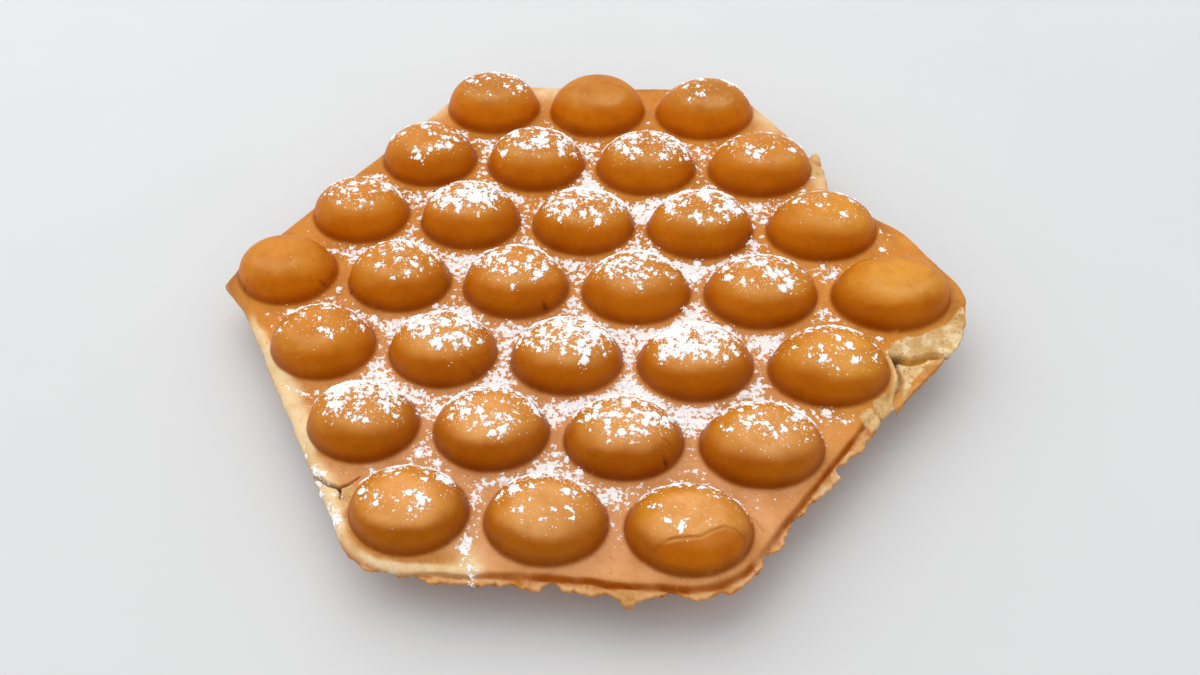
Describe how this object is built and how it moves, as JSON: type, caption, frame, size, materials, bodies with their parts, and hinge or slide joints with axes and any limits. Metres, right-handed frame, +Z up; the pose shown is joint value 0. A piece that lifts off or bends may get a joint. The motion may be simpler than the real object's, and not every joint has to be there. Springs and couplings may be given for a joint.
{
  "type": "bubble waffle",
  "caption": "Six-sided sheet of baked egg batter with rows of egg-shaped bubbles standing out of both faces, a torn ragged rim and powdered sugar on top.",
  "frame": {"origin": "middle of the waffle's outline, on the surface that its lowest bubbles rest on", "axes": "+X along the rows of bubbles, towards the torn tip; +Y across the rows, towards the back row; +Z up, out of the sugared face"},
  "size_m": [0.2124, 0.192, 0.0287],
  "materials": {
    "crust": "satin",
    "crumb": "matte",
    "sugar": "matte"
  },
  "bodies": {
    "root": {"waffle": "crust"}
  },
  "joints": []
}
